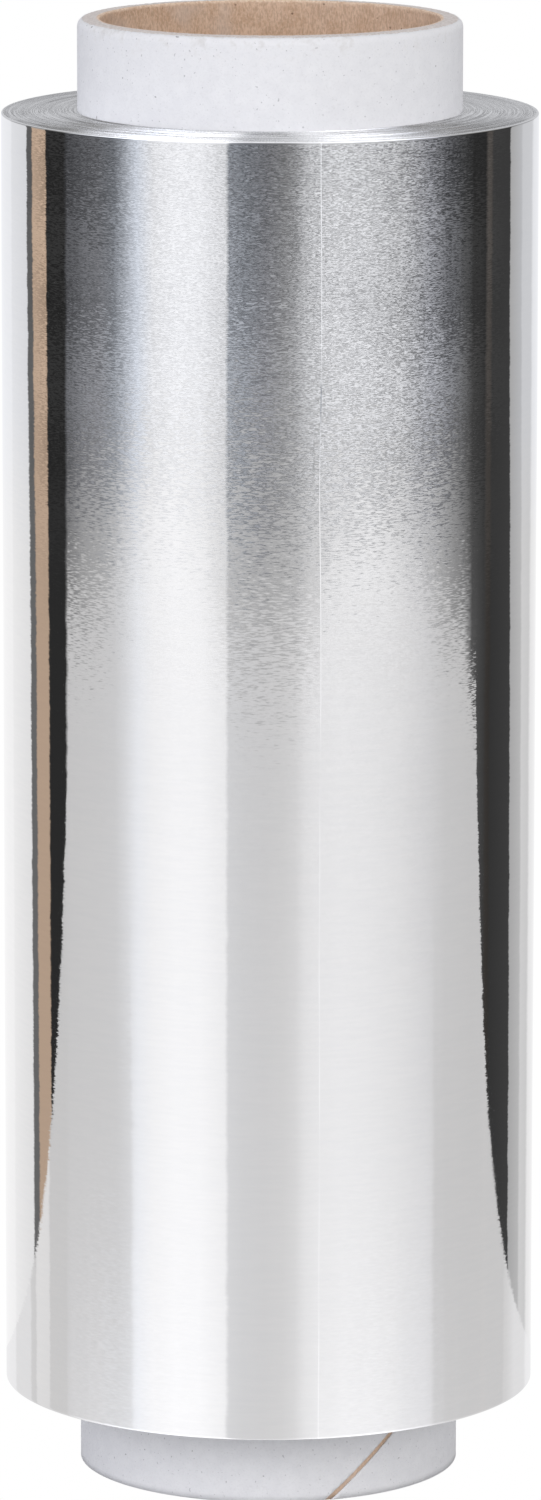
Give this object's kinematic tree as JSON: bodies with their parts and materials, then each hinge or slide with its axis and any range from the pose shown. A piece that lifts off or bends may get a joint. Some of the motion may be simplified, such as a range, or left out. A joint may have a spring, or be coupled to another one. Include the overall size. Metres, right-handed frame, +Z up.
{
  "type": "aluminium foil roll",
  "caption": "Wide roll of household aluminium foil wound tight on a white-faced paper core that stands proud at both ends.",
  "frame": {"origin": "centre of the paper core's lower end, on the surface that the roll stands on", "axes": "+Z up along the roll's axis, towards the worn end of the core; -Y is the side that shows the open seam at the lower end"},
  "size_m": [0.12, 0.12, 0.33],
  "materials": {
    "foil": "bright rolled foil with fine streaks",
    "core_board": "raw brown core board",
    "white_paper": "matt white recycled paper with sparse grey flecks"
  },
  "bodies": {
    "root": {"foil_winding": "foil", "board_tube": "core_board", "white_cover_ply": "white_paper"}
  },
  "joints": []
}
